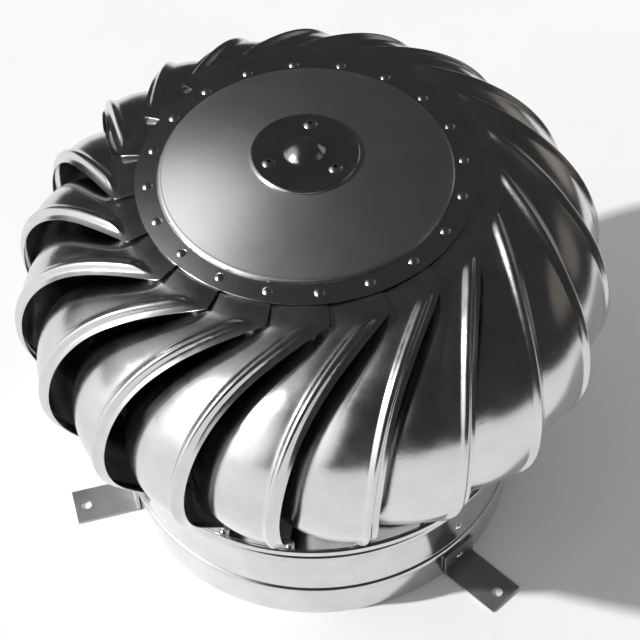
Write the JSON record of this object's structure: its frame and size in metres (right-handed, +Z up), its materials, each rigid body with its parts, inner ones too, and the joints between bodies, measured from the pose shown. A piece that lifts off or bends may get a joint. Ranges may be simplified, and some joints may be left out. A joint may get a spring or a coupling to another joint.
{
  "type": "turbine roof ventilator",
  "caption": "Wind-driven turbine roof ventilator: a polished vaned rotor with a domed cap spins on a ball-bearing shaft above a beaded throat collar with fixing feet.",
  "frame": {"origin": "rotor axis at the level of the undersides of the feet", "axes": "+Z up along the rotor shaft; -Y towards the side seen in the picture; +X to its right"},
  "size_m": [0.4234, 0.4234, 0.3489],
  "materials": {
    "polished_sheet": "mirror-polished stainless sheet",
    "strap_steel": "satin stainless strap",
    "rivet_metal": "bright",
    "spring_steel": "black oxide",
    "bearing_steel": "ground and polished",
    "cage_brass": "pressed",
    "turned_steel": "turned",
    "cast_hub": "machined"
  },
  "bodies": {
    "base": {"bearing_housing": "turned_steel", "collar": "polished_sheet", "foot_1": "strap_steel", "foot_2": "strap_steel", "foot_3": "strap_steel", "foot_rivets": "rivet_metal", "lower_bearing_balls": "bearing_steel", "lower_bearing_cage": "cage_brass", "lower_bearing_outer_race": "bearing_steel", "lower_retaining_ring": "spring_steel", "lower_spider": "strap_steel", "spider_rivets": "rivet_metal", "upper_bearing_balls": "bearing_steel", "upper_bearing_cage": "cage_brass", "upper_bearing_outer_race": "bearing_steel", "upper_retaining_ring": "spring_steel", "upper_spider": "strap_steel"},
    "rotor": {"bottom_ring": "polished_sheet", "cap": "polished_sheet", "cap_rivets": "rivet_metal", "hub": "cast_hub", "hub_plate": "polished_sheet", "hub_rivets": "rivet_metal", "hub_screw": "spring_steel", "lower_bearing_inner_race": "bearing_steel", "ring_rivets": "rivet_metal", "shaft": "turned_steel", "shaft_circlip": "spring_steel", "thrust_collar": "turned_steel", "thrust_collar_screw": "spring_steel", "upper_bearing_inner_race": "bearing_steel", "vane_01": "polished_sheet", "vane_02": "polished_sheet", "vane_03": "polished_sheet", "vane_04": "polished_sheet", "vane_05": "polished_sheet", "vane_06": "polished_sheet", "vane_07": "polished_sheet", "vane_08": "polished_sheet", "vane_09": "polished_sheet", "vane_10": "polished_sheet", "vane_11": "polished_sheet", "vane_12": "polished_sheet", "vane_13": "polished_sheet", "vane_14": "polished_sheet", "vane_15": "polished_sheet", "vane_16": "polished_sheet", "vane_17": "polished_sheet", "vane_18": "polished_sheet", "vane_19": "polished_sheet", "vane_20": "polished_sheet"}
  },
  "joints": [
    {"name": "rotor_spin", "type": "hinge", "parent": "base", "child": "rotor", "pos_m": [0, 0, 0.1], "axis": [0, 0, 1], "continuous": true}
  ]
}
